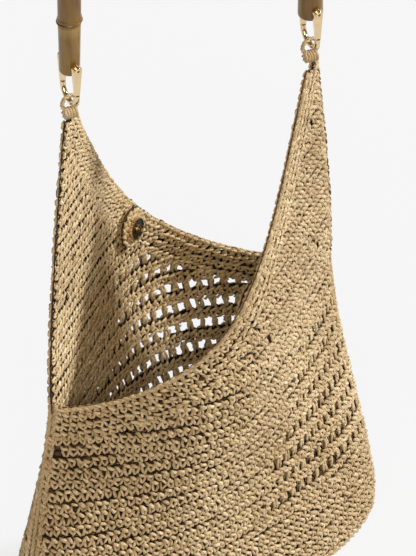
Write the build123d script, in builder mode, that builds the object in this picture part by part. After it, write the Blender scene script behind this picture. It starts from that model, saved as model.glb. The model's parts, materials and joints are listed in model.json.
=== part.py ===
"""Crocheted hobo bag with a bamboo top handle, two screw shackles and a magnetic snap.

Millimetres, +Z up, front of the bag towards -Y. The origin is where the hand holds it:
the underside of the bamboo arch, at its middle. The bag hangs straight below.
The bag is two alike walls, one the other turned half a turn about Z. The front wall
rises to the right peak, the back wall to the left peak, and a shackle lifts each peak.
"""

import os
from math import atan2, cos, degrees, pi, radians, sin

from build123d import *

# ---------------------------------------------------------------- driving dimensions
# handle
hang_x = 91.0             # half distance between the two hanging points, across
hang_y = 35.0             # and from front to back
cane_r = 8.9              # bamboo radius along the arch
cane_r_left = 8.0         # the cane tapers to this at its left end
cane_r_right = 9.6        # and thickens to this at its right end
leg_length = 62.0         # arch springing to pin
cane_tail = 8.5           # cane below the pin
node_swell = 1.1          # how far a bamboo node stands proud
node_half = 3.4           # half length of a node's swelling
node_root = 3.0           # how deep the swelling reaches into the cane
node_sink = 0.4           # its ends start this far under the cane's skin
leg_node_rise = 44.0      # middle of the two leg nodes above the pins
leg_node_step = 6.0       # the right one is higher by this, the left one lower
arch_node_turns = (32.0, 74.0, 118.0, 156.0)   # degrees round the arch from the right end
end_round = 3.0           # rounding of the cane's ends

# shackles
pin_turn = 5.0            # the pins are drilled this many degrees off square
pin_r = 1.8               # pin barrel
pin_head_r = 2.9
pin_head_t = 1.5
screw_r = 1.0             # thread of the screw that closes the barrel
screw_depth = 7.0
hex_r = 1.2
hex_depth = 1.0
slot_w = 0.7
slot_depth = 0.7
head_round = 0.6
run_gap = 0.06            # radial running clearance of the pin in cane and ears
ear_gap = 0.7             # cane to ear, each side
ear_t = 2.4
ear_r = 3.9
ear_foot_r = 2.0
bow_wire_r = 2.2
pin_to_wire = 34.5        # pin axis to the middle of the bow's wire at the bottom

# hanging loops
loop_cord_r = 2.2
loop_hole_r = 4.3
loop_slack = 0.35         # loop to bow, where it hangs
knot_r = 5.0
knot_length = 12.0
knot_round = 1.5
wire_to_knot = 10.5       # bow wire to knot axis, the line the bag folds about
soft_gap = 0.3            # between neighbouring soft pieces

# bag
peak_rise = 226.0         # side corners of the mouth up to the knots
body_drop = 247.0         # side corners down to the underside
corner_half = 147.5       # half width at the side corners
base_half = 184.0         # half width at the top of the base band
base_depth = 56.0         # half depth there
wall_bulge = 80.0         # how far a wall stands out at the mouth
peak_half = 97.0          # side edge at the top of a peak, from the middle
rim_end = 83.0            # mouth edge at the top of a peak, from the middle
side_skew = 37.0          # side edge's way forward at a peak
mouth_power = 2.05        # how the mouth edge climbs from corner to peak
wall_t = 4.5
rim_extra = 0.9           # rim and seams stand this far proud of the wall
rim_w = 6.0
border_w = 22.0
seam_half = 3.0
band_top = 77.0           # base band's upper edge above the underside
bottom_lip = 24.0         # height of the bottom dish, rounded edge included
bottom_round = 22.0
peak_clear = 4.6          # wall ends this far below the knot's axis

# magnetic snap
snap_drop = 63.0          # snap above the side corners
snap_yaw = 16.0
snap_pitch = 4.0
patch_r = 15.0
patch_t = 2.6
patch_seat = 3.4          # wall to patch, with the washer between
snap_r = 9.0
case_t = 4.2
case_wall = 0.9
magnet_t = 2.6
eyelet_r = 2.4
eyelet_hole_r = 1.5
stud_r = 1.3
stud_h = 2.0
eyelet_flange = 1.0       # the eyelet's flange is wider than its neck by this
eyelet_flange_t = 0.6
eyelet_rise = 1.0         # and stands this far above the magnet
plate_round = 0.7
plate_t = 1.8
washer_r = 7.0
washer_t = 0.8
prong_w = 3.0
prong_t = 0.6
prong_x = 4.6
prong_out = 0.3           # leg ends past the washer
prong_root = 0.2          # and starts this deep in the case or plate
fit_gap = 0.1             # between the snap's own metal parts

# ---------------------------------------------------------------- derived places
arch_r = (hang_x ** 2 + hang_y ** 2) ** 0.5
hang_angle = degrees(atan2(-hang_y, hang_x))
arch_z = cane_r - arch_r
pin_z = arch_z - leg_length
wire_z = pin_z - pin_to_wire
knot_z = wire_z - wire_to_knot
corner_z = knot_z - peak_rise
base_z = corner_z - body_drop
ear_in = max(cane_r_left, cane_r_right) + ear_gap
arm_half = ear_in + ear_t / 2
loop_ring_r = loop_hole_r + loop_cord_r
ring_z = wire_z - (loop_hole_r - bow_wire_r - loop_slack)

hang_line = Vector(cos(radians(hang_angle)), sin(radians(hang_angle)), 0)
pin_angle = hang_angle - 90 + pin_turn
pin_line = Vector(cos(radians(pin_angle)), sin(radians(pin_angle)), 0)
swing_line = Vector(-pin_line.Y, pin_line.X, 0)
sides = {"left": -1, "right": 1}


def hang_point(side, z):
    """A point on one side's hanging line, side -1 left or 1 right."""
    return Vector(side * hang_x, -side * hang_y, z)


def finish(part, name):
    """Label a piece and write its file."""
    part.label = name
    export_step(part, f"parts/{name}.step")


os.makedirs("parts", exist_ok=True)


# ---------------------------------------------------------------- bamboo handle
def node_ring(radius):
    """Profile of one bamboo node, to be turned about the cane's axis."""
    with BuildLine() as line:
        Polyline((radius - node_root, -node_half), (radius - node_sink, -node_half))
        Spline(
            (radius - node_sink, -node_half),
            (radius + node_swell, -0.6),
            (radius + 0.5 * node_swell, 0.8),
            (radius - node_sink, node_half),
        )
        Polyline((radius - node_sink, node_half), (radius - node_root, node_half), (radius - node_root, -node_half))
    return line.line


with BuildPart() as bamboo_handle:
    # the arch, a half ring
    with BuildSketch(Plane(origin=hang_point(1, arch_z), x_dir=hang_line, z_dir=(0, 0, 1))):
        Circle(cane_r)
    arch_axis = Axis((0, 0, arch_z), Vector(hang_line.Y, -hang_line.X, 0))
    revolve(axis=arch_axis, revolution_arc=180)
    # the legs, tapering to the left end and thickening to the right one
    for side, end_r in ((-1, cane_r_left), (1, cane_r_right)):
        foot = hang_point(side, pin_z - cane_tail)
        with BuildSketch(Plane(origin=foot, x_dir=hang_line, z_dir=(0, 0, 1))):
            Circle(end_r)
        with BuildSketch(Plane(origin=hang_point(side, arch_z), x_dir=hang_line, z_dir=(0, 0, 1))):
            Circle(cane_r)
        loft()
    feet = bamboo_handle.edges().filter_by(GeomType.CIRCLE).sort_by(Axis.Z)[:2]
    fillet(feet, end_round)
    # nodes on the legs, well above the pins
    for side, end_r in ((-1, cane_r_left), (1, cane_r_right)):
        node_z = pin_z + leg_node_rise + side * leg_node_step
        node_r = end_r + (cane_r - end_r) * (node_z - pin_z) / leg_length
        with BuildSketch(Plane(origin=hang_point(side, node_z), x_dir=hang_line,
                               z_dir=Vector(hang_line.Y, -hang_line.X, 0))):
            add(node_ring(node_r))
            make_face()
        revolve(axis=Axis(hang_point(side, 0), (0, 0, 1)))
    # nodes round the arch
    for turn in arch_node_turns:
        away = hang_line * cos(radians(turn)) + Vector(0, 0, 1) * sin(radians(turn))
        along = Vector(0, 0, 1) * cos(radians(turn)) - hang_line * sin(radians(turn))
        middle = Vector(0, 0, arch_z) + away * arch_r
        with BuildSketch(Plane(origin=middle, x_dir=away, z_dir=away.cross(along))):
            add(node_ring(cane_r))
            make_face()
        revolve(axis=Axis(middle, along))
    # pin bores
    for side in sides.values():
        with BuildSketch(Plane(origin=hang_point(side, pin_z), z_dir=pin_line)):
            Circle(pin_r + run_gap)
        extrude(amount=2 * cane_r_right, both=True, mode=Mode.SUBTRACT)
finish(bamboo_handle.part, "bamboo_handle")


# ---------------------------------------------------------------- shackles
def shackle_bow(side):
    """A U of round wire with a drop-shaped ear at each end."""
    pin_at = hang_point(side, pin_z)
    bend = hang_point(side, wire_z + arm_half)
    with BuildPart() as bow:
        with BuildSketch(Plane(origin=bend + pin_line * arm_half, x_dir=pin_line, z_dir=(0, 0, 1))):
            Circle(bow_wire_r)
        revolve(axis=Axis(bend, swing_line), revolution_arc=180)
        for face in (-1, 1):
            with BuildSketch(Plane(origin=pin_at + pin_line * face * arm_half,
                                   x_dir=swing_line, z_dir=pin_line)):
                Circle(ear_r)
                with Locations((0, -(pin_to_wire - arm_half))):
                    Circle(ear_foot_r)
                make_hull()
            extrude(amount=ear_t / 2, both=True)
        with BuildSketch(Plane(origin=pin_at, x_dir=swing_line, z_dir=pin_line)):
            Circle(pin_r + run_gap)
        extrude(amount=arm_half + ear_t, both=True, mode=Mode.SUBTRACT)
    return bow.part


def shackle_pin(side):
    """The barrel: a domed head outside the front ear and a tube for the closing screw."""
    pin_at = hang_point(side, pin_z)
    ear_out = arm_half + ear_t / 2
    with BuildPart() as pin:
        with BuildSketch(Plane(origin=pin_at - pin_line * ear_out, z_dir=pin_line)):
            Circle(pin_r)
        extrude(amount=2 * ear_out + fit_gap)
        with BuildSketch(Plane(origin=pin_at + pin_line * (ear_out + fit_gap), z_dir=pin_line)):
            Circle(pin_head_r)
        extrude(amount=pin_head_t)
        rim = pin.edges().filter_by(GeomType.CIRCLE).sort_by(Axis(pin_at, pin_line))[-1]
        fillet(rim, head_round)
        with BuildSketch(Plane(origin=pin_at + pin_line * (ear_out + fit_gap + pin_head_t),
                               z_dir=pin_line)):
            RegularPolygon(hex_r, 6)
        extrude(amount=-hex_depth, mode=Mode.SUBTRACT)
        with BuildSketch(Plane(origin=pin_at - pin_line * ear_out, z_dir=pin_line)):
            Circle(screw_r + run_gap)
        extrude(amount=screw_depth + 0.5, mode=Mode.SUBTRACT)
    return pin.part


def shackle_screw(side):
    """The closing screw: a slotted head outside the back ear."""
    pin_at = hang_point(side, pin_z)
    seat = pin_at - pin_line * (arm_half + ear_t / 2 + fit_gap)
    with BuildPart() as screw:
        with BuildSketch(Plane(origin=seat, z_dir=pin_line)):
            Circle(screw_r)
        extrude(amount=screw_depth)
        with BuildSketch(Plane(origin=seat, z_dir=-pin_line)):
            Circle(pin_head_r)
        extrude(amount=pin_head_t)
        rim = screw.edges().filter_by(GeomType.CIRCLE).sort_by(Axis(pin_at, pin_line))[0]
        fillet(rim, head_round)
        with BuildSketch(Plane(origin=seat - pin_line * pin_head_t, x_dir=swing_line,
                               z_dir=-pin_line)):
            Rectangle(1.6 * pin_head_r, slot_w)
        extrude(amount=-slot_depth, mode=Mode.SUBTRACT)
    return screw.part


for name, side in sides.items():
    finish(shackle_bow(side), f"{name}_shackle_bow")
    finish(shackle_pin(side), f"{name}_shackle_pin")
    finish(shackle_screw(side), f"{name}_shackle_screw")


# ---------------------------------------------------------------- hanging loops
def hanging_loop(side):
    """A corded ring round the bow, and the rolled knot below that the peak folds about."""
    with BuildPart() as loop:
        ring_at = hang_point(side, ring_z)
        with BuildSketch(Plane(origin=ring_at + swing_line * loop_ring_r,
                               x_dir=swing_line, z_dir=(0, 0, 1))):
            Circle(loop_cord_r)
        revolve(axis=Axis(ring_at, pin_line))
        knot_start = hang_point(side, knot_z) - hang_line * (knot_length / 2)
        with BuildSketch(Plane(origin=knot_start, z_dir=hang_line)):
            Circle(knot_r)
        extrude(amount=knot_length)
        ends = loop.edges().filter_by(GeomType.CIRCLE).filter_by(
            lambda edge: abs(edge.radius - knot_r) < 0.01)
        fillet(ends, knot_round)
    return loop.part


for name, side in sides.items():
    finish(hanging_loop(side), f"{name}_hanging_loop")


# ---------------------------------------------------------------- the bag's walls
def half_width(z):
    """Half width of the bag at a height; above the corners, the walls' side edges."""
    rise = z - corner_z
    if rise >= 0:
        return corner_half - (corner_half - peak_half) * (rise / peak_rise) ** 1.15
    drop = -rise / (body_drop - band_top + 40)
    return corner_half + (base_half - corner_half) * min(drop, 1.0) ** 1.15


def side_offset(z):
    """How far the right side edge has come forward at a height."""
    rise = max(z - corner_z, 0.0)
    return side_skew * (rise / peak_rise) ** 0.87


def tent(t):
    """Plan of a hanging wall: two nearly straight runs meeting in a round, left of middle."""
    left = 1.6 * (1 + t)
    right = 1 - t
    if min(left, right) <= 0:
        return 0.0
    return (left ** -3 + right ** -3) ** (-1 / 3)


def oval(t):
    """Plan of the base, a full-ended oval."""
    return (1 - min(abs(t), 1.0) ** 2.3) ** (1 / 2.3)


def base_share(z):
    """1 where the wall has the base's plan, 0 where it has the hanging plan."""
    drop = (corner_z - z) / (body_drop - band_top + 20)
    share = min(max(drop, 0.0), 1.0)
    return share * share * (3 - 2 * share)


def front_depth(t, z):
    """Distance of the front wall's outer face in front of the middle, t from -1 to 1."""
    share = base_share(z)
    hanging = side_offset(z) * t + wall_bulge * tent(t)
    return (1 - share) * hanging + share * base_depth * oval(t)


def bag_form(inset_x, inset_y, low, high):
    """The closed form of the bag between two heights, drawn in by the insets."""
    levels = [low + (high - low) * step / 15 for step in range(16)]
    with BuildPart() as form:
        for z in levels:
            into_round = max(bottom_round - (z - low), 0.0)
            under = bottom_round - (bottom_round ** 2 - into_round ** 2) ** 0.5
            width = half_width(z) - inset_x - under
            scale = (front_depth(0, z) - inset_y - under) / front_depth(0, z)
            front = []
            for step in range(17):
                t = -cos(pi * step / 16)
                front.append((width * t, -scale * front_depth(t, z)))
            back = [(-x, -y) for x, y in front]
            with BuildSketch(Plane.XY.offset(z)):
                with BuildLine():
                    Spline(*front)
                    Spline(*back)
                make_face()
        loft()
    return form.part


def mouth_curve(lower):
    """Front wall's mouth edge as seen from the front, moved down into the wall."""
    points = []
    for step in range(25):
        share = step / 24
        x = -corner_half + (corner_half + rim_end) * share
        z = corner_z + peak_rise * share ** mouth_power
        slope = mouth_power * peak_rise * max(share, 0.02) ** (mouth_power - 1)
        run = corner_half + rim_end
        size = (run ** 2 + slope ** 2) ** 0.5
        points.append((x + lower * slope / size, z - lower * run / size))
    return points


def below_mouth(lower):
    """Everything below the front mouth edge, for cutting the front wall."""
    edge = mouth_curve(lower)
    first, last = edge[0], edge[-1]
    with BuildPart() as region:
        with BuildSketch(Plane.XZ):
            with BuildLine():
                Spline(*edge)
                Polyline(
                    last,
                    (last[0] + 12, last[1] + 30),
                    (base_half + 60, last[1] + 30),
                    (base_half + 60, base_z - 40),
                    (-base_half - 60, base_z - 40),
                    (-base_half - 60, first[1]),
                    first,
                )
            make_face()
        extrude(amount=250, both=True)
    return region.part


def in_front(ahead):
    """Everything at least this far in front of the sheet that joins both side edges."""
    levels = [base_z - 30, corner_z] + [corner_z + peak_rise * step / 6 for step in range(1, 8)]
    with BuildPart() as region:
        for z in levels:
            lean = degrees(atan2(-side_offset(z), half_width(z)))
            with BuildSketch(Plane.XY.offset(z).rotated((0, 0, lean))):
                Polygon((-400, -ahead), (400, -ahead), (400, -400), (-400, -400), align=None)
        loft(ruled=True)
    return region.part


def slab(low, high):
    """Everything between two heights."""
    with BuildPart() as region:
        with BuildSketch(Plane.XY.offset(low)):
            Rectangle(900, 900)
        extrude(amount=high - low)
    return region.part


def knot_space():
    """The room both knots need while the bag folds about them."""
    reach = arch_r + knot_length
    with BuildPart() as region:
        with BuildSketch(Plane(origin=Vector(0, 0, knot_z) - hang_line * reach, z_dir=hang_line)):
            Circle(knot_r + soft_gap)
        extrude(amount=2 * reach)
    return region.part


form_top = knot_z + 20
thin_outer = bag_form(0, 0, base_z, form_top)
thin_inner = bag_form(wall_t * 1.5, wall_t, base_z + wall_t, form_top + 1)
fat_outer = bag_form(-rim_extra, -rim_extra, base_z - rim_extra, form_top)
fat_inner = bag_form(wall_t * 1.5 + rim_extra, wall_t + rim_extra, base_z + wall_t, form_top + 1)
wall_top = slab(base_z - 20, knot_z - peak_clear)
knots = knot_space()
band_z = base_z + band_top
lip_z = base_z + bottom_lip

with BuildPart() as thin_wall:
    add(thin_outer)
    add(thin_inner, mode=Mode.SUBTRACT)
    add(wall_top, mode=Mode.INTERSECT)
    add(knots, mode=Mode.SUBTRACT)

with BuildPart() as fat_wall:
    add(fat_outer)
    add(fat_inner, mode=Mode.SUBTRACT)
    add(wall_top, mode=Mode.INTERSECT)
    add(knots, mode=Mode.SUBTRACT)

above_band = slab(band_z + soft_gap, knot_z)
front_half = in_front(seam_half + soft_gap)
half_turn = Rotation(0, 0, 180)


def both_walls(piece, name):
    """Write a front wall piece, and the back wall's, which is the same turned half a turn."""
    finish(piece, f"front_{name}")
    finish(half_turn * piece, f"back_{name}")


with BuildPart() as front_panel:
    add(thin_wall.part)
    add(front_half, mode=Mode.INTERSECT)
    add(above_band, mode=Mode.INTERSECT)
    add(below_mouth(rim_w + border_w + 2 * soft_gap), mode=Mode.INTERSECT)
both_walls(front_panel.part, "panel")

with BuildPart() as front_border:
    add(thin_wall.part)
    add(front_half, mode=Mode.INTERSECT)
    add(above_band, mode=Mode.INTERSECT)
    add(below_mouth(rim_w + soft_gap), mode=Mode.INTERSECT)
    add(below_mouth(rim_w + border_w + soft_gap), mode=Mode.SUBTRACT)
both_walls(front_border.part, "border")

with BuildPart() as front_rim:
    add(fat_wall.part)
    add(front_half, mode=Mode.INTERSECT)
    add(below_mouth(0), mode=Mode.INTERSECT)
    add(below_mouth(rim_w), mode=Mode.SUBTRACT)
both_walls(front_rim.part, "rim")

# side seams below the corners, and the walls' chained side edges above them
back_half = half_turn * in_front(seam_half)
for name, side in sides.items():
    for kind, low, high in (("seam", band_z + soft_gap, corner_z), ("edge", corner_z + soft_gap, knot_z)):
        with BuildPart() as strip:
            add(fat_wall.part)
            add(in_front(seam_half), mode=Mode.SUBTRACT)
            add(back_half, mode=Mode.SUBTRACT)
            add(slab(low, high), mode=Mode.INTERSECT)
            with BuildSketch(Plane.XY.offset(low)):
                with Locations((side * 200, 0)):
                    Rectangle(400, 400)
            extrude(amount=high - low, mode=Mode.INTERSECT)
        finish(strip.part, f"{name}_side_{kind}")

with BuildPart() as base_band:
    add(thin_wall.part)
    add(slab(lip_z + soft_gap, band_z), mode=Mode.INTERSECT)
finish(base_band.part, "base_band")

with BuildPart() as base_bottom:
    add(thin_wall.part)
    add(slab(base_z - 5, lip_z), mode=Mode.INTERSECT)
finish(base_bottom.part, "base_bottom")


# ---------------------------------------------------------------- magnetic snap
snap_z = corner_z + snap_drop
wall_inside = front_depth(0, snap_z) - wall_t
snap_place = Pos(0, -wall_inside, snap_z) * Rotation(0, 0, snap_yaw) * Rotation(-90 + snap_pitch, 0, 0)
front_seat = Plane(snap_place)
back_seat = Plane(half_turn * snap_place)


def snap_patch(seat):
    """A round crocheted patch that carries one half of the snap."""
    with BuildPart() as patch:
        with BuildSketch(seat.offset(patch_seat)):
            Circle(patch_r)
            for face in (-1, 1):
                with Locations((face * prong_x, 0)):
                    Rectangle(prong_t + 2 * fit_gap, prong_w + 2 * fit_gap, mode=Mode.SUBTRACT)
        extrude(amount=patch_t)
    return patch.part


def snap_washer(seat):
    """The slotted washer behind the patch."""
    with BuildPart() as washer:
        with BuildSketch(seat.offset(patch_seat - fit_gap - washer_t)):
            Circle(washer_r)
            Circle(stud_r, mode=Mode.SUBTRACT)
            for face in (-1, 1):
                with Locations((face * prong_x, 0)):
                    Rectangle(prong_t + 2 * fit_gap, prong_w + 2 * fit_gap, mode=Mode.SUBTRACT)
        extrude(amount=washer_t)
    return washer.part


def snap_legs(seat):
    """The two legs through the patch and the washer."""
    with BuildPart() as legs:
        with BuildSketch(seat.offset(patch_seat - fit_gap - washer_t - prong_out)):
            for face in (-1, 1):
                with Locations((face * prong_x, 0)):
                    Rectangle(prong_t, prong_w)
        extrude(amount=patch_t + washer_t + 2 * fit_gap + prong_out + prong_root)
    return legs.part


for name, seat in (("front", front_seat), ("back", back_seat)):
    finish(snap_patch(seat), f"{name}_snap_patch")
    finish(snap_washer(seat), f"{name}_snap_washer")

face_z = patch_seat + patch_t + fit_gap
back_legs = snap_legs(back_seat)
front_legs = snap_legs(front_seat)

with BuildPart() as snap_case:
    with BuildSketch(back_seat.offset(face_z)):
        Circle(snap_r)
    extrude(amount=case_t)
    with BuildSketch(back_seat.offset(face_z + case_t)):
        Circle(snap_r - case_wall)
    extrude(amount=-(case_t - case_wall), mode=Mode.SUBTRACT)
    add(back_legs)
finish(snap_case.part, "back_snap_case")

with BuildPart() as snap_magnet:
    with BuildSketch(back_seat.offset(face_z + case_wall + fit_gap)):
        Circle(snap_r - case_wall - fit_gap)
        Circle(eyelet_r + fit_gap, mode=Mode.SUBTRACT)
    extrude(amount=magnet_t)
finish(snap_magnet.part, "back_snap_magnet")

with BuildPart() as snap_eyelet:
    with BuildSketch(back_seat.offset(face_z + case_wall + fit_gap)):
        Circle(eyelet_r)
    extrude(amount=magnet_t + eyelet_rise)
    with BuildSketch(back_seat.offset(face_z + case_wall + fit_gap + magnet_t + fit_gap)):
        Circle(eyelet_r + eyelet_flange)
    extrude(amount=eyelet_flange_t)
    with BuildSketch(back_seat.offset(face_z + case_wall + 2 * fit_gap + magnet_t + eyelet_rise)):
        Circle(eyelet_hole_r)
    extrude(amount=-magnet_t, mode=Mode.SUBTRACT)
finish(snap_eyelet.part, "back_snap_eyelet")

with BuildPart() as snap_plate:
    with BuildSketch(front_seat.offset(face_z)):
        Circle(snap_r)
    extrude(amount=plate_t)
    plate_edge = snap_plate.faces().sort_by(Axis(front_seat.origin, front_seat.z_dir))[-1].edges()
    fillet(plate_edge, plate_round)
    with BuildSketch(front_seat.offset(face_z + plate_t)):
        Circle(stud_r)
    extrude(amount=stud_h)
    add(front_legs)
finish(snap_plate.part, "front_snap_plate")
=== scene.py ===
# %% [markdown]
# # A crocheted raffia hobo bag on a bamboo handle
# The bag is two crocheted walls that hang from two peaks. Each peak hangs by a
# rolled loop in a gold screw shackle, and both shackles are pinned to the ends of
# an arched bamboo handle. A magnetic snap closes the mouth.
# The metal pieces come from the frame as they are. Everything that is raffia is
# worked here stitch by stitch, because the light and dark of crochet comes from
# real strands that pass over each other, and no bump map gives that.

# %% Load the frame
import json
import math

import bpy
import numpy as np
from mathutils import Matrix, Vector


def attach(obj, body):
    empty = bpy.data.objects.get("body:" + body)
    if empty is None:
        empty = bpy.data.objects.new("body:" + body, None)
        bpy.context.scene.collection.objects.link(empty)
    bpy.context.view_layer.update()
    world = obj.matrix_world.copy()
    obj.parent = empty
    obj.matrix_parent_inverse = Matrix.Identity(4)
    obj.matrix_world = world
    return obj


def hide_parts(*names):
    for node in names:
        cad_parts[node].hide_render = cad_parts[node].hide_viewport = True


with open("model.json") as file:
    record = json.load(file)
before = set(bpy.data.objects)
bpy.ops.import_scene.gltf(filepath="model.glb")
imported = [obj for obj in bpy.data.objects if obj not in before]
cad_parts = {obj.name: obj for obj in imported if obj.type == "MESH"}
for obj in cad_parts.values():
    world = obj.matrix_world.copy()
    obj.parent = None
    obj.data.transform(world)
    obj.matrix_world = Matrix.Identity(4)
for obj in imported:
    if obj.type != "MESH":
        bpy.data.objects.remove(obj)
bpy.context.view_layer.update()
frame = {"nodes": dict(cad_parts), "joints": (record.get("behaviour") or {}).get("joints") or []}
joints = {joint["name"]: joint for joint in frame["joints"]}

# %% [markdown]
# ## The shape that the stitches follow
# A wall of the bag is a sheet that stands out in a blunt tent at the mouth and
# turns into an oval at the base. One could model that sheet and put a texture on
# it. Here it is a function instead: it takes a place across the wall and a height
# along the wall, and gives the point on the sheet and the way it faces. Every
# stitch is then laid on it. Lengths are in millimetres up to the last moment.

# %% The bag's measurements
MM = 0.001
KNOT_Z = joints["bag_fold"]["pos_m"][2] / MM    # the rolled knots that the peaks hang from
PEAK_RISE = 226.0       # side corners of the mouth up to the knots
BODY_DROP = 247.0       # side corners down to the underside
CORNER_Z = KNOT_Z - PEAK_RISE
BASE_Z = CORNER_Z - BODY_DROP
CORNER_HALF, PEAK_HALF, BASE_HALF = 147.5, 97.0, 184.0
BASE_DEPTH, WALL_BULGE, SIDE_SKEW = 56.0, 80.0, 37.0
BAND_TOP = 77.0         # top of the dense base band above the underside
RIM_END, MOUTH_POWER = 83.0, 2.05
TAPER_POWER = 1.15      # how the width runs from the base up to the peak
WIDEN_PAST, OVAL_PAST = 40.0, 20.0      # how far both go on below the base band's top
TENT_LEFT, TENT_POWER = 1.6, -3         # the blunt tent at the mouth, steeper on its left
OVAL_POWER = 2.3        # the oval at the base
SKEW_POWER = 0.87
BOTTOM_ROUND = 22.0
WALL_T = 4.5
ROUND_PATH = BOTTOM_ROUND * math.pi / 2
SPRING_Z = BASE_Z + BOTTOM_ROUND                # where the wall leaves the bottom's rounding
print("mouth corners at", round(CORNER_Z, 1), "underside at", round(BASE_Z, 1))


# %% The wall as a function
def half_width(z):
    """Half of the bag's width at a height."""
    rise = np.clip((z - CORNER_Z) / PEAK_RISE, 0, 1)
    drop = np.clip((CORNER_Z - z) / (BODY_DROP - BAND_TOP + WIDEN_PAST), 0, 1)
    return (CORNER_HALF - (CORNER_HALF - PEAK_HALF) * rise ** TAPER_POWER
            + (BASE_HALF - CORNER_HALF) * drop ** TAPER_POWER)


def front_depth(t, z):
    """How far the front wall stands out of the middle, at share t across it and height z."""
    share = np.clip((CORNER_Z - z) / (BODY_DROP - BAND_TOP + OVAL_PAST), 0, 1)
    share = share * share * (3 - 2 * share)
    left, right = np.maximum(TENT_LEFT * (1 + t), 1e-3), np.maximum(1 - t, 1e-3)
    tent = (left ** TENT_POWER + right ** TENT_POWER) ** (1 / TENT_POWER)
    oval = (1 - np.minimum(abs(t), 1) ** OVAL_POWER) ** (1 / OVAL_POWER)
    skew = SIDE_SKEW * np.clip((z - CORNER_Z) / PEAK_RISE, 0, 1) ** SKEW_POWER
    return (1 - share) * (skew * t + WALL_BULGE * tent) + share * BASE_DEPTH * oval


def skin(place, height):
    """Point on the bag's outside. place runs -1..1 across the front wall and 1..3 across the
    back one; height is measured along the wall from the top of the bottom's rounding."""
    place = (np.asarray(place, float) + 1) % 4 - 1
    back = place > 1
    t = np.where(back, place - 2, place)
    turn = np.clip(-height, 0, ROUND_PATH) / BOTTOM_ROUND
    z = SPRING_Z + np.maximum(height, 0) - BOTTOM_ROUND * np.sin(turn)
    under = BOTTOM_ROUND * (1 - np.cos(turn)) + np.maximum(-height - ROUND_PATH, 0)
    depth, middle = front_depth(t, z), front_depth(0 * t, z)
    x = (half_width(z) - under) * t
    y = -depth * (middle - under) / middle
    sign = np.where(back, -1, 1)
    return np.stack([x * sign, y * sign, z], -1)


def unit(v):
    return v / np.maximum(np.linalg.norm(v, axis=-1, keepdims=True), 1e-9)


def facing(place, height, step=0.006):
    """The way the bag's outside faces."""
    across = skin(place + step, height) - skin(place - step, height)
    up = skin(place, height + 0.5) - skin(place, height - 0.5)
    return unit(np.cross(across, up))


def on_wall(place, height, out):
    """Point in the wall, out from its middle, and the way it faces there."""
    way = facing(place, height)
    return skin(place, height) + way * (out[..., None] - WALL_T / 2), way


print("front bulge at the mouth", round(float(front_depth(0.0, CORNER_Z)), 1))

# %% [markdown]
# ## Strands
# Raffia is a flat paper ribbon, twisted and creased. A strand here is a short
# sweep: a five-sided section with a flat back and a ridge, carried along a path of
# a few points. All strands of a piece are swept at once as arrays, since a Python
# loop over half a million points would take minutes. Each strand also gets a map
# of its own, round it and along it, so that a material can run fibres lengthwise.
# Each point keeps its lift, how far it stands out of the wall's middle, so that
# the material can paint shade on what lies deep between the stitches.

# %% The sweep
rng = np.random.default_rng(247)
SECTION = np.array([(-1.0, -0.35), (-0.62, 0.62), (0.12, 1.0), (0.78, 0.42), (0.9, -0.5)])
MAP_SHIFT = 900         # each strand's map starts anywhere in this, so that no two look alike


def sweep(path, way, width, thick, lift, closed=False):
    """path and way are (strands, points, 3); width, thick and lift are (strands, points)."""
    n, k, _ = path.shape
    m = len(SECTION)
    if closed:
        along = np.roll(path, -1, 1) - np.roll(path, 1, 1)
    else:
        along = np.gradient(path, axis=1)
    along = unit(along)
    side = unit(np.cross(along, way))
    up = np.cross(side, along)
    flip = rng.choice([-1.0, 1.0], (n, 1, 1, 1))
    ring = SECTION[None, None] * np.concatenate([flip, 1 + 0 * flip], -1)
    points = (path[:, :, None] + side[:, :, None] * ring[..., :1] * width[:, :, None, None] / 2
              + up[:, :, None] * ring[..., 1:] * thick[:, :, None, None] / 2)
    base = (np.arange(n) * k * m)[:, None, None]
    steps = k if closed else k - 1
    i = (np.arange(steps) * m)[None, :, None]
    i_next = (((np.arange(steps) + 1) % k) * m)[None, :, None]
    j, j_next = np.arange(m)[None, None], (np.arange(m)[None, None] + 1) % m
    quads = np.stack([base + i + j, base + i_next + j, base + i_next + j_next, base + i + j_next], -1)
    quads = np.where(flip > 0, quads, quads[..., ::-1]).reshape(-1, 4)
    caps = np.zeros((0, 5), int)
    if not closed:
        first = base[:, 0] + np.arange(m)[None]
        last = first + (k - 1) * m
        caps = np.concatenate([np.where(flip[:, 0, 0] > 0, first, first[:, ::-1]),
                               np.where(flip[:, 0, 0] > 0, last[:, ::-1], last)])
    run = np.cumsum(np.linalg.norm(np.diff(path, axis=1, prepend=path[:, :1]), axis=-1), 1)
    run = run + rng.uniform(0, MAP_SHIFT, (n, 1))
    maps = np.stack(np.broadcast_arrays((np.arange(m) / m)[None, None], run[..., None]), -1)
    lifts = lift[:, :, None] + ring[..., 1] * thick[:, :, None] / 2
    return points.reshape(-1, 3), quads, caps, maps.reshape(-1, 2), lifts.ravel()


TOP_LIFT = 1.6          # how far a strand that lies on top stands out of the wall's middle


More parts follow.
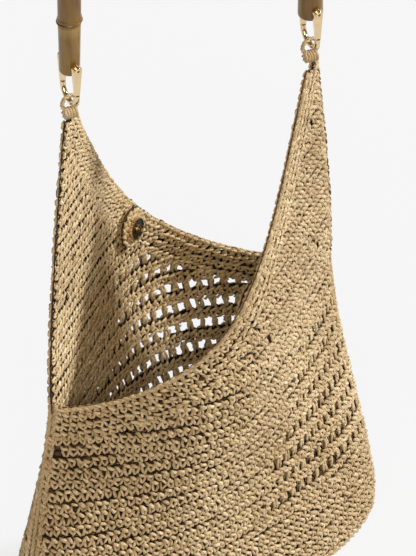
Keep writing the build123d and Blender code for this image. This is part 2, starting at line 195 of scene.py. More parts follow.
class Piece:
    """Gathers swept strands and turns them into one object."""

    def __init__(self, name):
        self.name, self.parts, self.count = name, [], 0

    def add(self, path, way, width, thick, lift=TOP_LIFT, closed=False):
        if len(path):
            lift = np.broadcast_to(lift, path.shape[:2])
            points, quads, caps, maps, lifts = sweep(path, way, width, thick, lift, closed)
            self.parts.append((points, quads + self.count, caps + self.count, maps, lifts))
            self.count += len(points)

    def build(self, material):
        points, quads, caps, maps, lifts = (np.concatenate([p[i] for p in self.parts]) for i in range(5))
        corners = np.concatenate([quads.ravel(), caps.ravel()]).astype(np.int32)
        sizes = np.concatenate([np.full(len(quads), 4), np.full(len(caps), 5)])
        mesh = bpy.data.meshes.new(self.name)
        mesh.vertices.add(len(points))
        mesh.vertices.foreach_set("co", (points * MM).astype(np.float32).ravel())
        mesh.loops.add(len(corners))
        mesh.loops.foreach_set("vertex_index", corners)
        mesh.polygons.add(len(sizes))
        starts = np.concatenate([[0], np.cumsum(sizes)[:-1]])
        mesh.polygons.foreach_set("loop_start", starts.astype(np.int32))
        layer = mesh.uv_layers.new(name="strand")
        layer.data.foreach_set("uv", maps[corners].astype(np.float32).ravel())
        lifted = mesh.attributes.new("lift", "FLOAT", "POINT")
        lifted.data.foreach_set("value", lifts.astype(np.float32))
        mesh.update()
        mesh.validate()
        mesh.materials.append(material)
        obj = bpy.data.objects.new(self.name, mesh)
        bpy.context.scene.collection.objects.link(obj)
        triangles = 2 * len(quads) + 3 * len(caps)
        print(f"{self.name}: {triangles} triangles")
        return obj


print("sides of a strand:", len(SECTION))

# %% [markdown]
# ## Courses
# Crochet is worked in courses, row on row. A course here is a lower and an upper
# edge on the wall. Its stitches are cells between them: a place along the cell, a
# height in it and a distance out of it. A motif is one stitch drawn in a cell of
# its own, so each kind of stitch is drawn once and laid a few thousand times, with
# a little chance in every strand, because no hand pulls two stitches alike.

# %% Cells on a course
def lengths_along(points):
    """True length along a line of points, from its start to each point."""
    return np.concatenate([[0], np.cumsum(np.linalg.norm(np.diff(points, axis=0), axis=1))])


def course(low, high, pitch):
    """low and high are (points, 2) edges in place and height. Returns edges spaced evenly by
    true length, and how many stitches of this pitch fit."""
    middle = skin((low[:, 0] + high[:, 0]) / 2, (low[:, 1] + high[:, 1]) / 2)
    run = lengths_along(middle)
    return {"run": run / run[-1], "low": low, "high": high, "count": max(int(round(run[-1] / pitch)), 1)}


def on_course(row, s, b, out):
    """Point and facing at share s along a course, height b in it, out from the wall's middle."""
    low = [np.interp(s, row["run"], row["low"][:, i]) for i in (0, 1)]
    high = [np.interp(s, row["run"], row["high"][:, i]) for i in (0, 1)]
    return on_wall(low[0] + (high[0] - low[0]) * b, low[1] + (high[1] - low[1]) * b, out)


END_TAPER = 0.62        # a strand's ends, as a share of its width
OUT_CHANCE, SHIFT_CHANCE, WIDTH_CHANCE = 0.16, 0.1, 0.1     # spread of the chance in each strand
CLOSED_WIDER = 0.18     # posts are a little wider where a mesh closes up


def strand(*points, width, thick=1.6, inside=False):
    """One strand of a motif: points (along, up, out), with the ends drawn in."""
    points = np.array(points, float)
    if inside:
        points = points * (1, 1, -1)
    taper = np.full(len(points), 1.0)
    taper[0] = taper[-1] = END_TAPER
    return {"points": points, "width": width * taper, "thick": thick * taper, "inside": inside}


def lay(piece, row, motif, keep=None, spread=None, at=on_course, jitter=0.05):
    """Lays a motif in every cell of a course. keep picks cells by their middle; spread widens
    the posts of a mesh stitch, cell by cell, and so closes its hole."""
    cells = np.arange(row["count"])
    middle = (cells + 0.5) / row["count"]
    if keep is not None:
        cells = cells[keep(row, middle)]
    if not len(cells):
        return
    closing = spread(row, (cells + 0.5) / row["count"]) if spread else np.zeros(len(cells))
    for item in motif:
        spot = np.repeat(item["points"][None], len(cells), 0)
        spot = spot + rng.normal(0, 1, spot.shape) * (jitter, jitter, OUT_CHANCE)
        spot = spot + rng.normal(0, 1, (len(cells), 1, 3)) * (jitter, jitter, SHIFT_CHANCE)
        a = spot[..., 0] * (1 + closing[:, None])
        s = np.clip((cells[:, None] + a) / row["count"], 0, 1)
        path, way = at(row, s, spot[..., 1], spot[..., 2])
        size = rng.normal(1, WIDTH_CHANCE, (len(cells), 1)) * (1 + CLOSED_WIDER * closing[:, None])
        if item["inside"]:
            way = -way
        lift = -spot[..., 2] if item["inside"] else spot[..., 2]
        piece.add(path, way, item["width"][None] * size, item["thick"][None] * np.ones((len(cells), 1)), lift)


# %% The stitches
def both_sides(*strands):
    """A stitch looks much the same from inside the bag."""
    return [strand(*p, width=w, thick=t, inside=inside) for p, w, t in strands for inside in (False, True)]


solid_stitch = both_sides(
    (((0.56, 0.02, 0.3), (0.36, 0.20, 1.6), (0.16, 0.46, 1.9), (0.10, 0.78, 0.6)), 2.5, 2.0),
    (((0.50, 0.02, 0.3), (0.70, 0.20, 1.7), (0.88, 0.44, 1.8), (0.94, 0.72, 0.6)), 2.5, 2.0),
    (((-0.14, 0.94, 0.5), (0.14, 0.90, 2.4), (0.52, 0.74, 2.6), (0.90, 0.60, 0.8)), 3.0, 2.1),
)
mesh_stitch = both_sides(
    (((0.04, -0.10, 0.5), (0.07, 0.22, 1.3), (0.10, 0.60, 1.5), (0.16, 1.00, 0.5)), 2.5, 2.1),
    (((0.31, -0.10, 0.5), (0.29, 0.22, 1.3), (0.26, 0.60, 1.4), (0.30, 1.00, 0.5)), 2.4, 2.1),
    (((0.00, 0.50, 0.6), (0.10, 0.56, 2.0), (0.24, 0.48, 2.1), (0.36, 0.34, 0.6)), 2.5, 1.9),
    (((-0.06, 1.10, 0.5), (0.12, 1.06, 2.2), (0.34, 0.94, 2.3), (0.50, 0.84, 0.6)), 2.9, 2.1),
)
mesh_bridge = both_sides(
    (((0.42, 1.12, 0.5), (0.60, 1.07, 2.0), (0.82, 0.96, 2.1), (1.00, 0.88, 0.6)), 2.7, 2.0),
)
print("strands in a solid stitch:", len(solid_stitch))
print("strands in a mesh stitch:", len(mesh_stitch) + len(mesh_bridge))

# %% [markdown]
# ## Materials
# Raffia is pale straw with browner and paler lengths, dull, with fine fibres along
# each strand, with painted shade where it lies deep between the stitches.
# Two shared groups carry what more than one finish needs: lengthwise
# fibres, read from each strand's own map, and a soft mottle, read from the place
# on the object. A texture image could do both, but would not follow each strand.

# %% Shared node groups
def group(name, inputs, outputs):
    tree = bpy.data.node_groups.new(name, "ShaderNodeTree")
    for socket, kind, value in inputs:
        made = tree.interface.new_socket(name=socket, in_out="INPUT", socket_type=kind)
        if value is not None:
            made.default_value = value
    for socket, kind in outputs:
        tree.interface.new_socket(name=socket, in_out="OUTPUT", socket_type=kind)
    return tree, tree.nodes.new("NodeGroupInput"), tree.nodes.new("NodeGroupOutput")


def node(tree, kind, links=(), **values):
    made = tree.nodes.new(kind)
    for key, value in values.items():
        setattr(made, key, value)
    for socket, source in dict(links).items():
        if isinstance(source, bpy.types.NodeSocket):
            tree.links.new(source, made.inputs[socket])
        else:
            made.inputs[socket].default_value = source
    return made


FLOAT, VECTOR = "NodeSocketFloat", "NodeSocketVector"

fibres, into, out = group(
    "lengthwise_fibres",
    [("Map", VECTOR, None), ("Across", FLOAT, 9.0), ("Along", FLOAT, 0.12)], [("Height", FLOAT)])
stretch = node(fibres, "ShaderNodeCombineXYZ", {"X": into.outputs["Across"], "Y": into.outputs["Along"]})
scaled = node(fibres, "ShaderNodeVectorMath", {0: into.outputs["Map"], 1: stretch.outputs[0]},
              operation="MULTIPLY")
streak = node(fibres, "ShaderNodeTexNoise",
              {"Vector": scaled.outputs[0], "Scale": 1.0, "Detail": 3.0, "Roughness": 0.6})
fibres.links.new(streak.outputs[0], out.inputs["Height"])

mottle, into, out = group(
    "soft_mottle", [("Scale", FLOAT, 40.0), ("Low", FLOAT, 0.35), ("High", FLOAT, 0.65)], [("Mask", FLOAT)])
place = node(mottle, "ShaderNodeTexCoord")
cloud = node(mottle, "ShaderNodeTexNoise",
             {"Vector": place.outputs["Object"], "Scale": into.outputs["Scale"], "Detail": 4.0})
spread_out = node(mottle, "ShaderNodeMapRange",
                  {"Value": cloud.outputs[0], "From Min": into.outputs["Low"],
                   "From Max": into.outputs["High"]})
mottle.links.new(spread_out.outputs[0], out.inputs["Mask"])
print("node groups:", [g.name for g in bpy.data.node_groups])


# %% Helpers for materials
def material(name):
    made = bpy.data.materials.new(name)
    made.use_nodes = True
    return made, made.node_tree, made.node_tree.nodes["Principled BSDF"]


def placed(tree, which, **values):
    made = tree.nodes.new("ShaderNodeGroup")
    made.node_tree = which
    for key, value in values.items():
        if isinstance(value, bpy.types.NodeSocket):
            tree.links.new(value, made.inputs[key])
        else:
            made.inputs[key].default_value = value
    return made.outputs[0]


def ramp(tree, mask, *stops):
    made = node(tree, "ShaderNodeValToRGB", {0: mask})
    while len(made.color_ramp.elements) < len(stops):
        made.color_ramp.elements.new(0.5)
    for element, (at, colour) in zip(made.color_ramp.elements, stops):
        element.position, element.color = at, (*colour, 1)
    return made.outputs[0]


def mixed(tree, share, a, b, blend="MIX"):
    made = node(tree, "ShaderNodeMix", data_type="RGBA", blend_type=blend)
    for socket, value in ((0, share), (6, a), (7, b)):
        if isinstance(value, bpy.types.NodeSocket):
            tree.links.new(value, made.inputs[socket])
        else:
            made.inputs[socket].default_value = value if socket == 0 else (*value, 1)
    return made.outputs[2]


def bumped(tree, shader, height, strength, distance):
    made = node(tree, "ShaderNodeBump", {"Height": height, "Strength": strength, "Distance": distance})
    tree.links.new(made.outputs[0], shader.inputs["Normal"])


# %% Raffia
# Painted shade: the raffia is darkened towards these colours where a strand lies deep between the stitches.
DEEP_PAINTED_SHADE, PAINTED_SHADE = (0.06, 0.035, 0.018), (0.28, 0.19, 0.12)


def raffia(name, dark, mid, pale):
    made, tree, shader = material(name)
    strand_map = node(tree, "ShaderNodeUVMap", uv_map="strand").outputs[0]
    fine = placed(tree, fibres, Map=strand_map, Across=11.0, Along=0.16)
    crease = placed(tree, fibres, Map=strand_map, Across=4.0, Along=0.35)
    tone = node(tree, "ShaderNodeNewGeometry").outputs["Random Per Island"]
    base = ramp(tree, tone, (0.0, dark), (0.25, mid), (0.75, mid), (1.0, pale))
    cloud = placed(tree, mottle, Scale=14.0, Low=0.35, High=0.7)
    aged = mixed(tree, 0.35, base, ramp(tree, cloud, (0.0, dark), (1.0, pale)))
    streaks = node(tree, "ShaderNodeMapRange", {"Value": fine, "From Min": 0.36, "From Max": 0.56})
    fibred = mixed(tree, streaks.outputs[0], mixed(tree, 0.75, aged, dark), aged)
    # Painted shade: the lower a point's lift, the darker its colour, down to a deep brown between the
    # stitches.
    lift = node(tree, "ShaderNodeAttribute", attribute_name="lift").outputs["Fac"]
    painted_shade_tone = ramp(tree, lift, (0.0, DEEP_PAINTED_SHADE), (0.55, PAINTED_SHADE), (1.1, (1, 1, 1)))
    colour = mixed(tree, 1.0, fibred, painted_shade_tone, "MULTIPLY")
    tree.links.new(colour, shader.inputs["Base Color"])
    rough = node(tree, "ShaderNodeMapRange", {"Value": fine, "To Min": 0.42, "To Max": 0.66})
    tree.links.new(rough.outputs[0], shader.inputs["Roughness"])
    shader.inputs["Specular IOR Level"].default_value = 0.35
    both = node(tree, "ShaderNodeMath", {0: fine, 1: crease}, operation="ADD")
    bumped(tree, shader, both.outputs[0], 0.9, 0.0009)
    return made


raffia_wall = raffia("raffia_wall", (0.38, 0.26, 0.125), (0.70, 0.535, 0.315), (0.92, 0.77, 0.50))
# The core yarn's dark brown is painted shade, standing for the gaps between the stitches.
core_raffia_painted_shade = raffia("core_raffia_painted_shade", (0.16, 0.09, 0.03), (0.28, 0.175, 0.07), (0.36, 0.24, 0.10))
print("raffia finishes:", raffia_wall.name, core_raffia_painted_shade.name)

# %% [markdown]
# ## The walls
# Each wall has open mesh courses between solid ones, and a solid border that
# follows the mouth from the corner up to the peak. The courses run level, and the
# border cuts them short, as short rows do in crochet. The mesh is open low on the
# side of the peak, and in the back wall higher up as well. Elsewhere its courses
# are worked solid, with a stitch missed now and then: wider posts would close the
# holes too, but look flat. Thin cords down the middle of the solid courses stand
# for the yarn that runs inside the stitches, and keep the light out where real
# crochet is closed. Their dark brown colour is painted shade for the gaps between
# the stitches.

# %% Courses of one wall
SOLID_ROW, MESH_ROW = 8.4, 10.2         # heights of the two kinds of course
SOLID_PITCH, MESH_PITCH = 6.1, 10.2
SOLID_FIRST = 2         # solid courses above the base band before the first mesh
RIM_W, BORDER_W = 6.0, 22.5
BORDER_ROWS = 3
DENSE_BELOW = 0.5       # below this openness a mesh course is worked as a solid one
MISSED = 0.010          # share of dense stitches that leave a small hole
SIDE = 0.972            # the peaks' side chains start here
SEAM_SIDE = 0.998       # and the seams below the corners here
BORDER_LAP = 3.0        # how far the courses run in under the border
COURSES_END, BORDER_END = 10.0, 8.5     # how far below the knots they stop
CORE_W = 4.9            # the yarn inside the solid courses
OPEN_FROM = 130.0       # above this height the back wall's mesh has an openness of its own


def spaced(start, end, count=160):
    """Places across a wall, closer together near its sides, where it turns fast."""
    mid, half = (start + end) / 2, (end - start) / 2
    return mid - half * np.cos(np.linspace(0, math.pi, count))


def mouth(lower, shares):
    """The front mouth edge moved down into the wall, as x and z."""
    run = CORNER_HALF + RIM_END
    slope = MOUTH_POWER * PEAK_RISE * np.maximum(shares, 0.02) ** (MOUTH_POWER - 1)
    size = np.hypot(run, slope)
    x = -CORNER_HALF + run * shares + lower * slope / size
    z = CORNER_Z + PEAK_RISE * shares ** MOUTH_POWER - lower * run / size
    return x, z


def along_mouth(lower, turn, count=240):
    """That edge as place and height on a wall, turn 0 for the front and 2 for the back."""
    x, z = mouth(lower, np.linspace(0, 1, count) ** 0.8)
    place = np.clip(x / half_width(z), -SIDE, 1.2)
    return np.stack([place + turn, z - SPRING_Z], -1)


def edge_height(place, lower):
    """Height of the mouth edge, moved down, above a place on the front wall."""
    x, z = mouth(lower, np.linspace(0, 1, 200))
    where = x / half_width(z)
    return np.interp(place, where, z - SPRING_Z, left=z[0] - SPRING_Z, right=1e3)


def middle_of(row, s):
    """Place and height of the middle of a course, at shares s along it."""
    return [np.interp(s, row["run"], (row["low"][:, i] + row["high"][:, i]) / 2) for i in (0, 1)]


def under_border(turn):
    """Keeps the cells that the border doesn't cover."""
    def keep(row, s):
        place, height = middle_of(row, s)
        below = edge_height(place - turn, RIM_W + BORDER_W - BORDER_LAP)
        return (height < below) & (height + SPRING_Z < KNOT_Z - COURSES_END)
    return keep


def on_the_wall(turn):
    """Keeps a border's cells short of the side chain and of the knot."""
    def keep(row, s):
        place, height = middle_of(row, s)
        return (place - turn < SIDE) & (height + SPRING_Z < KNOT_Z - BORDER_END)
    return keep


def openness(turn, row, s):
    """How open the mesh is: widest low on the side of the peak, closed up towards the corner."""
    place, height = middle_of(row, s)
    t = place - turn
    low_share = np.clip(0.35 + 1.4 * t, 0.15, 1.1) * np.clip(1.25 - height / 240, 0.2, 1)
    inner_share = np.clip(0.85 - 0.40 * t, 0.2, 0.95) * np.clip((310 - height) / 95, 0.12, 1)
    return np.where((turn > 0) & (height > OPEN_FROM), inner_share, low_share)


def mesh_closing(turn):
    """How far each mesh stitch closes up, with a little chance."""
    return lambda row, s: 0.9 * (1 - openness(turn, row, s)) + rng.normal(0, 0.09, len(s))


def dense_part(turn, dense, missed=0.0):
    """Keeps the cells of a mesh course where it is worked dense, or those where it is open."""
    def keep(row, s):
        closed = openness(turn, row, s) < DENSE_BELOW
        kept = closed if dense else ~closed
        return kept & under_border(turn)(row, s) & (rng.random(len(s)) >= missed)
    return keep


def core(piece, row, keep=None, thick=1.2, at=on_course):
    """The yarn inside a solid course, in short lengths."""
    lengths = [strand((-0.1, b, 0), (0.5, b, 0), (1.1, b, 0), width=CORE_W, thick=thick)
               for b in (0.3, 0.78)]
    for item in lengths:
        item["width"] = np.full(3, CORE_W)
    lay(piece, row, lengths, keep, at=at, jitter=0.01)


BAND_HEIGHT = BAND_TOP - BOTTOM_ROUND       # top of the base band along the wall
WALL_HEIGHT = PEAK_RISE + BODY_DROP - BOTTOM_ROUND


def wall_pieces(name, turn):
    """The solid courses, mesh courses, border and inner yarn of the front or back wall."""
    solid, mesh, border, cores = (Piece(f"{name}_{kind}") for kind in
                                  ("solid_courses", "mesh_courses", "border_courses", "core_yarn"))
    low, number = BAND_HEIGHT, 0
    while low < WALL_HEIGHT:
        open_row = number >= SOLID_FIRST and (number - SOLID_FIRST) % 2 == 0
        tall = MESH_ROW if open_row else SOLID_ROW
        side = SEAM_SIDE if low + tall / 2 < CORNER_Z - SPRING_Z else SIDE
        places = spaced(turn - side, turn + side)
        wave = 0.6 * np.sin(places * 7 + number * 1.9) + 0.4 * np.sin(places * 17 + number)
        row = course(np.stack([places, low + wave], -1), np.stack([places, low + tall + wave], -1),
                     MESH_PITCH if open_row else SOLID_PITCH)
        low, number = low + tall, number + 1
        keep = under_border(turn)
        if open_row:
            lay(mesh, row, mesh_stitch, dense_part(turn, False), mesh_closing(turn))
            lay(mesh, row, mesh_bridge, dense_part(turn, False))
            dense_row = course(row["low"], row["high"], SOLID_PITCH)
            lay(mesh, dense_row, solid_stitch, dense_part(turn, True, MISSED))
            core(cores, dense_row, dense_part(turn, True, 2 * MISSED))
        else:
            lay(solid, row, solid_stitch, keep)
            core(cores, row, keep)
    height = BORDER_W / BORDER_ROWS
    for number in range(BORDER_ROWS):
        near = RIM_W - 1.0 + number * height
        row = course(along_mouth(near + height, turn), along_mouth(near, turn), SOLID_PITCH)
        lay(border, row, solid_stitch, on_the_wall(turn))
        core(cores, row, on_the_wall(turn))
    return solid, mesh, border, cores


for name, turn in (("front", 0), ("back", 2)):
    solid, mesh, border, cores = (made.build(raffia_wall) for made in wall_pieces(name, turn))
    # The inner yarn takes the dark finish: painted shade in the gaps between the stitches.
    cores.data.materials[0] = core_raffia_painted_shade
    for made in (solid, mesh, border, cores):
        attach(made, "bag")
    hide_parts(f"{name}_panel")
    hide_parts(f"{name}_border")

# %% [markdown]
# ## Base band and bottom
# Below the mesh the bag is worked dense and round and round, down the band, over
# the rounded edge and in to the middle of the oval bottom. The same solid stitch
# does it, on courses that close on themselves.

# %% The base, course by course
BASE_ROW, BASE_PITCH = 8.4, 6.6
BOTTOM_LEFT = 3.0       # how far short of the bottom's middle the courses stop


def closed_course(low_height, high_height, pitch):
    """A course that runs right round the bag."""
    places = np.concatenate([spaced(-1, 1, 140)[:-1], spaced(1, 3, 140)])
    edges = [np.stack([places, np.full(len(places), height)], -1) for height in (low_height, high_height)]
    return course(*edges, pitch)


band, bottom, base_core = Piece("base_band_courses"), Piece("base_bottom_courses"), Piece("base_core_yarn")
lowest = -ROUND_PATH - (BASE_DEPTH - BOTTOM_ROUND) + BOTTOM_LEFT
height = BAND_HEIGHT
while height > lowest:
    low = max(height - BASE_ROW, lowest - 1.0)
    row = closed_course(low, height, BASE_PITCH)
    lay(band if height > 0 else bottom, row, solid_stitch)
    core(base_core, row)
    height -= BASE_ROW
# The base's inner yarn also takes the dark finish of painted shade.
for made, nodes, finish in ((band, ["base_band"], raffia_wall), (bottom, ["base_bottom"], raffia_wall),
                            (base_core, [], core_raffia_painted_shade)):
    made = made.build(finish)
    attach(made, "bag")
    if nodes:
        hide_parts(*nodes)

# %% [markdown]
# ## Rims, seams and side edges
# The mouth is finished with a row of small stitches and a thin rope along its
# edge. The sides are joined by ropes below the corners, and by edge stitches up
# the peaks. A curve with a bevel would give a smooth pipe. A rope here is three
# strands wound round one line, so it catches the light in slanting beads.

# %% A rope along a line
def rope(piece, line, way, radius, width, pitch, strands=3, closed=False, thick=0.8):
    """Winds strands round a line of points; way is a direction away from it at each point."""
    run = lengths_along(line)
    if closed:
        whole = run[-1] + np.linalg.norm(line[0] - line[-1])
        pitch = whole / max(round(whole / pitch), 1)
    along = unit(np.roll(line, -1, 0) - np.roll(line, 1, 0)) if closed else unit(np.gradient(line, axis=0))
    side = unit(np.cross(along, way))
    up = np.cross(side, along)
    angle = 2 * math.pi * (run[None] / pitch + np.arange(strands)[:, None] / strands)[..., None]
    away = np.cos(angle) * up[None] + np.sin(angle) * side[None]
    loose = 1 + 0.06 * np.sin(run * 1.7)[None, :, None]
    ones = np.ones((strands, len(line)))
    piece.add(line[None] + away * radius * loose, away, width * ones, thick * width * ones, closed=closed)


ROPE_STEP = 1.3         # between the points of a rope on the wall


def even(edge, spacing):
    """Points on the wall evenly spaced along an edge of place and height."""
    run = lengths_along(skin(edge[:, 0], edge[:, 1]))
    at = np.linspace(0, run[-1], int(run[-1] / spacing))
    return np.stack([np.interp(at, run, edge[:, i]) for i in (0, 1)], -1)


def wall_rope(piece, edge, out, **how):
    """A rope that lies on the wall along an edge."""
    edge = even(edge, ROPE_STEP)
    line, way = on_wall(edge[:, 0], edge[:, 1], np.full(len(edge), out))
    rope(piece, line, way, **how)


def beside(place, heights, away):
    """Places a true distance from a side of the bag, positive on round the bag."""
    steps = place + np.sign(away or 1) * (1 - np.cos(np.linspace(0, 0.6, 60)))
    found = []
    for height in heights:
        run = lengths_along(skin(steps, np.full(len(steps), height)))
        found.append(np.interp(abs(away), run, steps))
    return np.array(found)


edge_stitch = both_sides(
    (((0.10, -0.1, 0.6), (0.14, 0.3, 1.5), (0.30, 0.7, 1.5), (0.46, 0.94, 0.6)), 2.7, 1.9),
    (((0.55, -0.1, 0.6), (0.50, 0.3, 1.4), (0.44, 0.6, 1.4), (0.46, 0.9, 0.5)), 2.5, 1.8),
    (((-0.06, 0.98, 0.4), (0.24, 1.12, 1.0), (0.62, 1.10, 1.0), (0.98, 0.90, 0.4)), 3.2, 2.6),
)

# %% Rims, seams and side edges
RIM_DEEP, RIM_NEAR = 6.4, 2.0           # the rim's stitches lie this far from the mouth's edge
RIM_ROPE, RIM_PITCH = 1.9, 5.8
ROPE_END, SEAM_APART = 5.5, 5.2         # below the knots; between the ropes of a seam
EDGE_W, EDGE_PITCH, EDGE_INSET, EDGE_END = 6.5, 7.4, 0.2, 6.0
for name, turn in (("front", 0), ("back", 2)):
    rim = Piece(f"{name}_rim_chain")
    edge = along_mouth(RIM_ROPE, turn)
    edge = edge[(edge[:, 1] + SPRING_Z < KNOT_Z - ROPE_END) & (edge[:, 0] - turn < 1.0)]
    rim_row = course(along_mouth(RIM_DEEP, turn), along_mouth(RIM_NEAR, turn), RIM_PITCH)
    lay(rim, rim_row, edge_stitch, on_the_wall(turn))
    wall_rope(rim, edge, 1.1, radius=0.9, width=2.4, pitch=14.0)
    rim = rim.build(raffia_wall)
    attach(rim, "bag")
    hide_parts(f"{name}_rim")

CORNER_HEIGHT = CORNER_Z - SPRING_Z
for name, side_place in (("left", 3.0), ("right", 1.0)):
    seam, edge_chain = Piece(f"{name}_side_seam_chain"), Piece(f"{name}_side_edge_chain")
    heights = np.linspace(BAND_HEIGHT - 2, CORNER_HEIGHT + 3, 80)
    for away, out in ((0.0, 0.8), (SEAM_APART, 0.9), (-SEAM_APART, 0.9), (0.0, -1.4)):
        line = np.stack([beside(side_place, heights, away), heights], -1)
        wall_rope(seam, line, out, radius=0.95, width=2.3, pitch=13.0 if away >= 0 else -13.0)
    heights = np.linspace(CORNER_HEIGHT - 3, KNOT_Z - EDGE_END - SPRING_Z, 120)
    inner, outer = (np.stack([beside(side_place, heights, -away), heights], -1)
                    for away in (EDGE_W, EDGE_INSET))
    edge_row = course(inner, outer, EDGE_PITCH)
    lay(edge_chain, edge_row, edge_stitch)
    core(edge_chain, edge_row)
    for made, what in ((seam, "seam"), (edge_chain, "edge")):
        made = made.build(raffia_wall)
        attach(made, "bag")
        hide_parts(f"{name}_side_{what}")

# %% [markdown]
# ## Hanging loops
# Each peak ends in a corded ring through its shackle, rolled into a thick knot
# below. The ring is a closed rope; the knot is a strand coiled tightly about the
# line that the bag folds about, so it can turn there without tearing the wall.

# %% The two loops
HANG_LINE = np.array(joints["bag_fold"]["axis"])
PIN_LINE = np.array(joints["left_shackle_swing"]["axis"])
UPRIGHT = np.array((0, 0, 1.0))
SWING_LINE = np.cross(PIN_LINE, UPRIGHT)
RING_DROP = 1.75        # the ring's middle below the bow's wire
RING_R, KNOT_R, KNOT_LENGTH, KNOT_TURNS = 6.5, 5.0, 12.0, 4.4
for side in ("left", "right"):
    wire = np.array(joints[f"{side}_loop_turn"]["pos_m"]) / MM
    loop = Piece(f"{side}_loop_cord")
    turn = np.linspace(0, 2 * math.pi, 64, endpoint=False)[:, None]
    out_way = np.cos(turn) * SWING_LINE + np.sin(turn) * UPRIGHT
    rope(loop, wire - RING_DROP * UPRIGHT + RING_R * out_way, out_way, 0.95, 2.2, 9.0, closed=True)
    knot = np.array((wire[0], wire[1], KNOT_Z))
    angle = np.linspace(0, 2 * math.pi * KNOT_TURNS, 110)[:, None]
    away = np.cos(angle) * UPRIGHT + np.sin(angle) * np.cross(HANG_LINE, UPRIGHT)
    coil = knot + HANG_LINE * (angle / angle[-1] - 0.5) * (KNOT_LENGTH - 2.5) + away * (KNOT_R - 1.3)
    one = np.ones((1, len(coil)))
    loop.add(coil[None], away[None], 2.9 * one, 2.5 * one)
    rolled = knot + HANG_LINE * np.linspace(-0.5, 0.5, 14)[:, None] * (KNOT_LENGTH - 1)
    rope(loop, rolled, np.tile(UPRIGHT, (14, 1)), 1.7, 3.6, 14.0)
    loop = loop.build(raffia_wall)
    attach(loop, f"{side}_loop")
    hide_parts(f"{side}_hanging_loop")

# %% [markdown]
# ## Snap patches
# Each half of the magnetic snap is set in a small crocheted round, three rounds of
# solid stitch in a flat spiral. The same motif is laid on a disc instead of a wall.

# %% Two crocheted rounds
SNAP_Z = CORNER_Z + 63.0
SNAP_YAW, SNAP_PITCH = math.radians(16.0), math.radians(4.0)
PATCH_R, PATCH_MIDDLE = 15.0, 4.7
PATCH_PITCH, PATCH_FLAT = 5.2, 0.75     # the rounds' stitches are smaller and flatter
PATCH_ROUNDS = ((1.0, 6.0), (6.0, 10.4), (10.4, PATCH_R - 0.2))
seat_way = np.array((-math.sin(SNAP_YAW) * math.cos(SNAP_PITCH),
                     math.cos(SNAP_YAW) * math.cos(SNAP_PITCH), math.sin(SNAP_PITCH)))
seat_right = np.array((math.cos(SNAP_YAW), math.sin(SNAP_YAW), 0))
seat_at = np.array((0, WALL_T - float(front_depth(0.0, SNAP_Z)), SNAP_Z))
half_turn = np.array((-1, -1, 1))
for name, sign in (("front", 1), ("back", half_turn)):
    way, right = seat_way * sign, seat_right * sign
    centre = seat_at * sign + way * PATCH_MIDDLE
    upward = np.cross(way, right)

    def on_disc(row, s, b, out):
        """The same as on_course, for a round on the disc of the snap."""
        reach = (row["low"] + (row["high"] - row["low"]) * b)[..., None]
        turn = (2 * math.pi * s)[..., None]
        outward = np.cos(turn) * right + np.sin(turn) * upward
        point = centre + reach * outward + way * PATCH_FLAT * out[..., None]
        return point, np.broadcast_to(way, point.shape)

    patch = Piece(f"{name}_patch_rounds")
    for low, high in PATCH_ROUNDS:
        row = {"low": low, "high": high, "count": int(2 * math.pi * high / PATCH_PITCH)}
        lay(patch, row, solid_stitch, at=on_disc)
        core(patch, row, at=on_disc, thick=1.0)
    patch = patch.build(raffia_wall)
    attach(patch, "bag")
    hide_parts(f"{name}_snap_patch")

# %% [markdown]
# ## Bamboo handle
# The handle is one cane bent into an arch. A cane is never a plain tube: at each
# node a sharp ridge stands over a shallow groove, a little askew, and between the
# nodes it swells and thins. The cane is drawn as rings of points along its path.

# %% The cane
PIN_Z = joints["left_shackle_swing"]["pos_m"][2] / MM
CANE_R, CANE_LEFT, CANE_RIGHT, CANE_TAIL = 8.9, 8.0, 9.6, 8.5
LEG = 62.0
ARCH_R = float(np.hypot(*joints["left_shackle_swing"]["pos_m"][:2])) / MM
ARCH_Z = CANE_R - ARCH_R
LEG_ALL, ARCH_ALL = LEG + CANE_TAIL, math.pi * ARCH_R
CANE_ALL = 2 * LEG_ALL + ARCH_ALL
NODE_TURNS = (156.0, 118.0, 74.0, 32.0)      # degrees round the arch from its right end
node_runs = ([CANE_TAIL + 38.0] + [LEG_ALL + ARCH_ALL * (1 - turn / 180) for turn in NODE_TURNS]
             + [CANE_ALL - CANE_TAIL - 50.0])
ROUND = 64              # points round the cane
END_ROUND = 3.0         # radius of the rounding at its ends


def cane_rings(run):
    """Middle of the cane, the one direction across it that points out of the arch, and its plain radius."""
    bend = np.clip((run - LEG_ALL) / ARCH_R, 0, math.pi)[:, None]
    before = np.minimum(run - LEG_ALL, 0)[:, None]
    past = np.maximum(run - LEG_ALL - ARCH_ALL, 0)[:, None]
    outward = -np.cos(bend) * HANG_LINE + np.sin(bend) * UPRIGHT
    middle = ARCH_Z * UPRIGHT + ARCH_R * outward + (before - past) * UPRIGHT
    thin = np.clip(1 - run / LEG_ALL, 0, 1)
    thick = np.clip(1 - (CANE_ALL - run) / LEG_ALL, 0, 1)
    radius = CANE_R + (CANE_LEFT - CANE_R) * thin + (CANE_RIGHT - CANE_R) * thick
    return middle, outward, radius


